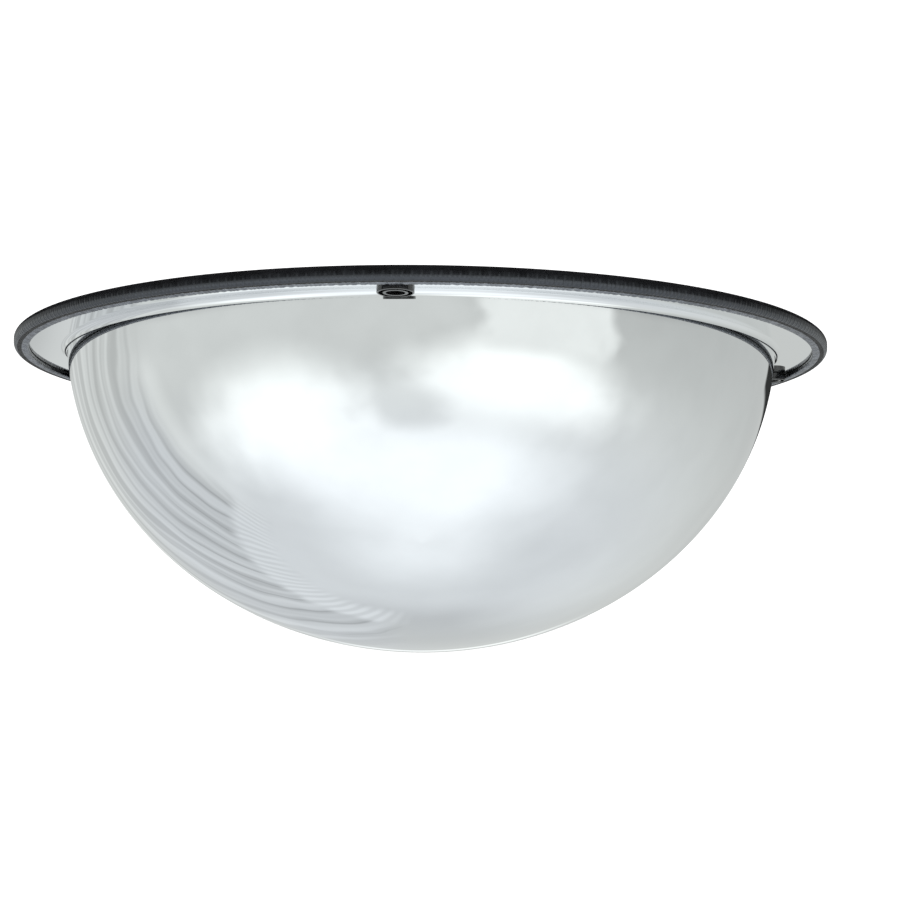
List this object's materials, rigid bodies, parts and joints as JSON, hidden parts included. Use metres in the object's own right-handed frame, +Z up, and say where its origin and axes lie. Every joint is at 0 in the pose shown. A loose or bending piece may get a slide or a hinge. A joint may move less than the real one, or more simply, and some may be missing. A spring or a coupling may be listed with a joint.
{
  "type": "convex security mirror",
  "caption": "Full-dome convex mirror for a ceiling, with a flat flange, a ribbed edge trim and screw cups, that shows a shop floor all round.",
  "frame": {"origin": "centre of the ceiling plane that the mirror hangs against, which is midway between the fore and aft screw holes", "axes": "+Z up, out of the back of the mirror into the ceiling; +Y from the fore screw hole to the aft one"},
  "size_m": [0.6599, 0.6599, 0.2468],
  "materials": {
    "mirror_acrylic": "polished",
    "trim_rubber": "satin ribbed",
    "core_steel": "zinc plated",
    "soft_rubber": "matt",
    "black_plastic": "moulded",
    "black_steel": "black oxide"
  },
  "bodies": {
    "root": {"mirror_dome": "mirror_acrylic", "edge_trim": "trim_rubber", "trim_core": "core_steel", "trim_lining": "soft_rubber", "screw_cup_1": "black_plastic", "cup_gasket_1": "soft_rubber", "well_washer_1": "black_steel", "stem_nut_1": "black_plastic", "screw_cup_2": "black_plastic", "cup_gasket_2": "soft_rubber", "well_washer_2": "black_steel", "stem_nut_2": "black_plastic", "screw_cup_3": "black_plastic", "cup_gasket_3": "soft_rubber", "well_washer_3": "black_steel", "stem_nut_3": "black_plastic", "screw_cup_4": "black_plastic", "cup_gasket_4": "soft_rubber", "well_washer_4": "black_steel", "stem_nut_4": "black_plastic"}
  },
  "joints": []
}
